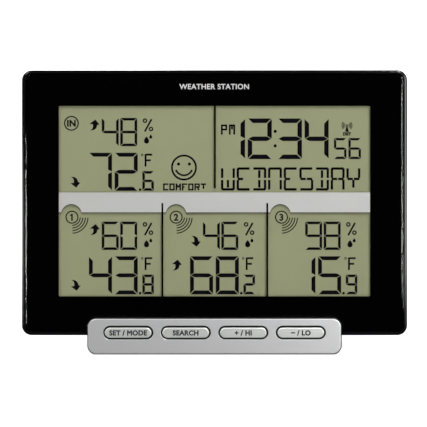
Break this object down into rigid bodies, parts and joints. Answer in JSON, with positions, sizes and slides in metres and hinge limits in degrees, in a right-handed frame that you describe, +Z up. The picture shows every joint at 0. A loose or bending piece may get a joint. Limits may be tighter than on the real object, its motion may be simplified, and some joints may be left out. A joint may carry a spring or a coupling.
{
  "type": "home weather station",
  "caption": "Table-top weather station with a wide glossy display panel, a silver key pod below it and a fold-out rear leg.",
  "frame": {"origin": "middle of the underside of the rubber strip below the key pod, on the table", "axes": "+X to the viewer's right along the width, -Y towards the viewer, +Z up"},
  "size_m": [0.1914, 0.0634, 0.1359],
  "materials": {
    "black_case": "piano black, glossy ABS",
    "matt_case": "fine-grained black ABS",
    "clear_panel": "clear polished acrylic",
    "mask_print": "black screen print on film",
    "silver_print": "silver screen print on film",
    "polariser": "thin grey polarising film",
    "display_glass": "clear soda-lime glass",
    "cell_seal": "epoxy seal line",
    "reflector": "grey-green reflective film",
    "white_frame": "white styrene",
    "silver_plastic": "satin silver paint on ABS",
    "key_plastic": "satin silver paint on ABS",
    "silicone": "translucent grey silicone",
    "zebra": "layered elastomer",
    "carbon": "carbon-filled silicone",
    "circuit_board": "green solder mask",
    "ribbon": "grey PVC flat cable",
    "screws": "zinc-plated steel",
    "resin": "black potting resin",
    "tinned_steel": "tin-plated steel",
    "capacitor_sleeve": "dark blue shrink sleeve",
    "aerial_wire": "grey PVC insulation",
    "sensor_shell": "pale slotted plastic",
    "ferrite": "dark sintered ferrite",
    "winding": "enamelled copper winding",
    "red_wire": "red PVC insulation",
    "black_wire": "black PVC insulation",
    "label": "blank silver polyester label",
    "nickel": "nickel-plated spring steel",
    "cell_jacket": "plain printed jacket over steel can",
    "rubber": "matt black rubber"
  },
  "bodies": {
    "station": {"front_case": "black_case", "rear_case": "matt_case", "front_lens": "clear_panel", "lens_mask": "mask_print", "silver_band": "silver_print", "display_polariser": "polariser", "display_front_glass": "display_glass", "display_rear_glass": "display_glass", "display_seal": "cell_seal", "display_reflector": "reflector", "display_carrier": "white_frame", "aerial_clips": "white_frame", "key_pod": "silver_plastic", "key_dome_set_mode": "silicone", "key_dome_search": "silicone", "key_dome_plus": "silicone", "key_dome_minus": "silicone", "keypad_mat": "silicone", "zebra_strip": "zebra", "contact_pills": "carbon", "main_board": "circuit_board", "key_board": "circuit_board", "radio_board": "circuit_board", "ribbon_cable": "ribbon", "carrier_screws": "screws", "key_board_screws": "screws", "main_board_screws": "screws", "case_screws": "screws", "controller_blob": "resin", "quartz_crystal": "tinned_steel", "radio_shield": "tinned_steel", "capacitors": "capacitor_sleeve", "radio_aerial": "aerial_wire", "humidity_sensor": "sensor_shell", "ferrite_rod": "ferrite", "aerial_coil": "winding", "battery_wire_red": "red_wire", "battery_wire_black": "black_wire", "rear_label": "label", "battery_springs": "nickel", "contact_plates": "nickel", "battery_1": "cell_jacket", "battery_2": "cell_jacket", "battery_3": "cell_jacket", "foot_strip": "rubber"},
    "key_set_mode": {"key_set_mode": "key_plastic"},
    "key_search": {"key_search": "key_plastic"},
    "key_plus": {"key_plus": "key_plastic"},
    "key_minus": {"key_minus": "key_plastic"},
    "cover": {"battery_cover": "matt_case"},
    "leg": {"stand_leg": "matt_case", "leg_foot": "rubber"}
  },
  "joints": [
    {"name": "press_set_mode", "type": "slide", "parent": "station", "child": "key_set_mode", "axis": [0, 0.9659, -0.2588], "range_m": [0, 0.0009], "stiffness_N_per_m": 600, "springref_m": -0.0003, "deforming": ["key_dome_set_mode"]},
    {"name": "press_search", "type": "slide", "parent": "station", "child": "key_search", "axis": [0, 0.9659, -0.2588], "range_m": [0, 0.0009], "stiffness_N_per_m": 600, "springref_m": -0.0003, "deforming": ["key_dome_search"]},
    {"name": "press_plus", "type": "slide", "parent": "station", "child": "key_plus", "axis": [0, 0.9659, -0.2588], "range_m": [0, 0.0009], "stiffness_N_per_m": 600, "springref_m": -0.0003, "deforming": ["key_dome_plus"]},
    {"name": "press_minus", "type": "slide", "parent": "station", "child": "key_minus", "axis": [0, 0.9659, -0.2588], "range_m": [0, 0.0009], "stiffness_N_per_m": 600, "springref_m": -0.0003, "deforming": ["key_dome_minus"]},
    {"name": "cover_off", "type": "slide", "parent": "station", "child": "cover", "axis": [0, 0.9659, -0.2588], "range_m": [0, 0.035]},
    {"name": "leg_fold", "type": "hinge", "parent": "station", "child": "leg", "pos_m": [0, 0.03435, 0.0495], "axis": [1, 0, 0], "range_deg": [-37, 0]}
  ]
}
